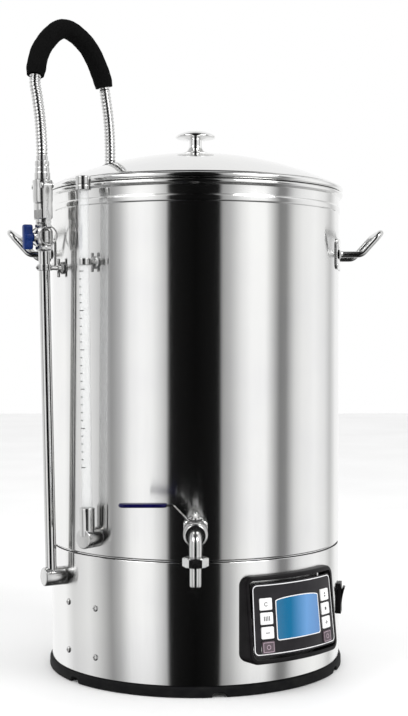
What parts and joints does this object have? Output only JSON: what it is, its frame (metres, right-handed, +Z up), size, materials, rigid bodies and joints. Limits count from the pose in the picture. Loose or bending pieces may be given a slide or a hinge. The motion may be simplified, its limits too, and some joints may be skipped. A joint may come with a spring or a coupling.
{
  "type": "electric all-in-one brewing kettle",
  "caption": "Cylindrical steel brewing kettle with a domed lid, tap, sight gauge, recirculation riser and hose, lift-out malt pipe, side handles and a base controller.",
  "frame": {"origin": "on the floor under the kettle's axis, within 4 mm of the centre of the base plate's flat underside", "axes": "+Z up along the kettle's axis, -Y towards the tap, +X to the right seen from the tap"},
  "size_m": [0.5164, 0.4937, 0.8818],
  "materials": {
    "brushed_steel": "satin",
    "polished_steel": "mirror",
    "cast_steel": "bead blasted",
    "black_rubber": "matt",
    "black_foam": "matt foam",
    "black_plastic": "fine texture",
    "face_film": "satin film",
    "display_blue": "gloss",
    "white_key": "satin",
    "mauve_key": "satin",
    "blue_vinyl": "gloss",
    "clear_tube": "clear",
    "silicone": "satin",
    "board_green": "satin",
    "aluminium": "cast"
  },
  "bodies": {
    "kettle": {"foot_ring": "black_rubber", "base_plate": "black_plastic", "base_skirt": "brushed_steel", "kettle_vessel": "brushed_steel", "handle_left": "brushed_steel", "handle_right": "brushed_steel", "tap_body": "cast_steel", "tap_elbow": "cast_steel", "tap_union_nut": "cast_steel", "tap_hose_tail": "cast_steel", "gauge_foot": "cast_steel", "gauge_tube": "clear_tube", "gauge_cap": "cast_steel", "gauge_clip": "cast_steel", "riser_foot": "cast_steel", "riser_pipe": "brushed_steel", "riser_standoff": "cast_steel", "riser_valve_body": "cast_steel", "cam_coupler": "cast_steel", "controller_housing": "black_plastic", "controller_face": "face_film", "display_window": "display_blue", "switch_bezel": "black_plastic", "power_inlet": "black_plastic", "heater_plate": "aluminium", "pump_head": "black_plastic", "pump_motor": "black_plastic", "pump_inlet_hose": "silicone", "pump_outlet_hose": "silicone", "control_board": "board_green", "temperature_probe": "polished_steel"},
    "lid": {"lid_dome": "polished_steel", "lid_rim": "polished_steel", "lid_knob": "polished_steel", "hose_grommet": "black_rubber"},
    "hose_assembly": {"hose": "brushed_steel", "hose_sleeve": "black_foam", "hose_adapter": "cast_steel"},
    "tap_handle": {"tap_lever": "brushed_steel", "tap_grip": "blue_vinyl", "tap_stem": "cast_steel", "tap_ball": "polished_steel"},
    "riser_valve": {"riser_valve_handle": "blue_vinyl", "riser_valve_ball": "polished_steel"},
    "cam_arm_front": {"cam_lever_front": "brushed_steel"},
    "cam_arm_rear": {"cam_lever_rear": "brushed_steel"},
    "ring_front": {"pull_ring_front": "brushed_steel"},
    "ring_rear": {"pull_ring_rear": "brushed_steel"},
    "malt_basket": {"malt_pipe": "brushed_steel", "lower_screen": "brushed_steel"},
    "rocker": {"power_rocker": "black_plastic"},
    "impeller": {"pump_impeller": "black_plastic"},
    "key_1": {"button_1": "white_key"},
    "key_2": {"button_2": "white_key"},
    "key_3": {"button_3": "white_key"},
    "key_4": {"button_4": "mauve_key"},
    "key_5": {"button_5": "white_key"},
    "key_6": {"button_6": "white_key"},
    "key_7": {"button_7": "white_key"},
    "key_8": {"button_8": "mauve_key"}
  },
  "joints": [
    {"name": "lid_lift", "type": "slide", "parent": "kettle", "child": "lid", "axis": [0, 0, 1], "range_m": [0, 0.05]},
    {"name": "hose_lift", "type": "slide", "parent": "kettle", "child": "hose_assembly", "axis": [0, 0, 1], "range_m": [0, 0.12]},
    {"name": "malt_pipe_lift", "type": "slide", "parent": "kettle", "child": "malt_basket", "axis": [0, 0, 1], "range_m": [0, 0.05]},
    {"name": "tap_turn", "type": "hinge", "parent": "kettle", "child": "tap_handle", "pos_m": [0, -0.245, 0.2386], "axis": [0, 0, 1], "range_deg": [0, 90]},
    {"name": "riser_valve_turn", "type": "hinge", "parent": "kettle", "child": "riser_valve", "pos_m": [-0.20028, -0.10649, 0.58495], "axis": [-0.8827, -0.4694, -0.0218], "range_deg": [0, 90]},
    {"name": "cam_arm_front_hinge", "type": "hinge", "parent": "kettle", "child": "cam_arm_front", "pos_m": [-0.19383, -0.12175, 0.65193], "axis": [-0.8827, -0.4694, -0.0218], "range_deg": [0, 100]},
    {"name": "cam_arm_rear_hinge", "type": "hinge", "parent": "kettle", "child": "cam_arm_rear", "pos_m": [-0.20932, -0.09261, 0.65193], "axis": [0.8827, 0.4694, 0.0218], "range_deg": [0, 100]},
    {"name": "ring_front_hinge", "type": "hinge", "parent": "cam_arm_front", "child": "ring_front", "pos_m": [-0.19279, -0.1212, 0.59844], "axis": [-0.8827, -0.4694, -0.0218], "range_deg": [-100, 0]},
    {"name": "ring_rear_hinge", "type": "hinge", "parent": "cam_arm_rear", "child": "ring_rear", "pos_m": [-0.20829, -0.09206, 0.59844], "axis": [0.8827, 0.4694, 0.0218], "range_deg": [-100, 0]},
    {"name": "power_rocker_hinge", "type": "hinge", "parent": "kettle", "child": "rocker", "pos_m": [0.2009, -0.03542, 0.094], "axis": [-0.1736, -0.9848, 0], "range_deg": [0, 20]},
    {"name": "impeller_spin", "type": "hinge", "parent": "kettle", "child": "impeller", "pos_m": [0.055, 0.06, 0.088], "axis": [0, 0, 1], "continuous": true},
    {"name": "key_1_press", "type": "slide", "parent": "kettle", "child": "key_1", "axis": [-0.4187, 0.9081, 0], "range_m": [0, 0.001], "stiffness_N_per_m": 800, "springref_m": -0.0005},
    {"name": "key_2_press", "type": "slide", "parent": "kettle", "child": "key_2", "axis": [-0.4187, 0.9081, 0], "range_m": [0, 0.001], "stiffness_N_per_m": 800, "springref_m": -0.0005},
    {"name": "key_3_press", "type": "slide", "parent": "kettle", "child": "key_3", "axis": [-0.4187, 0.9081, 0], "range_m": [0, 0.001], "stiffness_N_per_m": 800, "springref_m": -0.0005},
    {"name": "key_4_press", "type": "slide", "parent": "kettle", "child": "key_4", "axis": [-0.4187, 0.9081, 0], "range_m": [0, 0.001], "stiffness_N_per_m": 800, "springref_m": -0.0005},
    {"name": "key_5_press", "type": "slide", "parent": "kettle", "child": "key_5", "axis": [-0.7885, 0.615, 0], "range_m": [0, 0.001], "stiffness_N_per_m": 800, "springref_m": -0.0005},
    {"name": "key_6_press", "type": "slide", "parent": "kettle", "child": "key_6", "axis": [-0.7885, 0.615, 0], "range_m": [0, 0.001], "stiffness_N_per_m": 800, "springref_m": -0.0005},
    {"name": "key_7_press", "type": "slide", "parent": "kettle", "child": "key_7", "axis": [-0.7885, 0.615, 0], "range_m": [0, 0.001], "stiffness_N_per_m": 800, "springref_m": -0.0005},
    {"name": "key_8_press", "type": "slide", "parent": "kettle", "child": "key_8", "axis": [-0.7885, 0.615, 0], "range_m": [0, 0.001], "stiffness_N_per_m": 800, "springref_m": -0.0005}
  ],
  "couplings": [
    {"joint": "ring_front_hinge", "follows": "cam_arm_front_hinge", "ratio": -1},
    {"joint": "ring_rear_hinge", "follows": "cam_arm_rear_hinge", "ratio": -1}
  ]
}
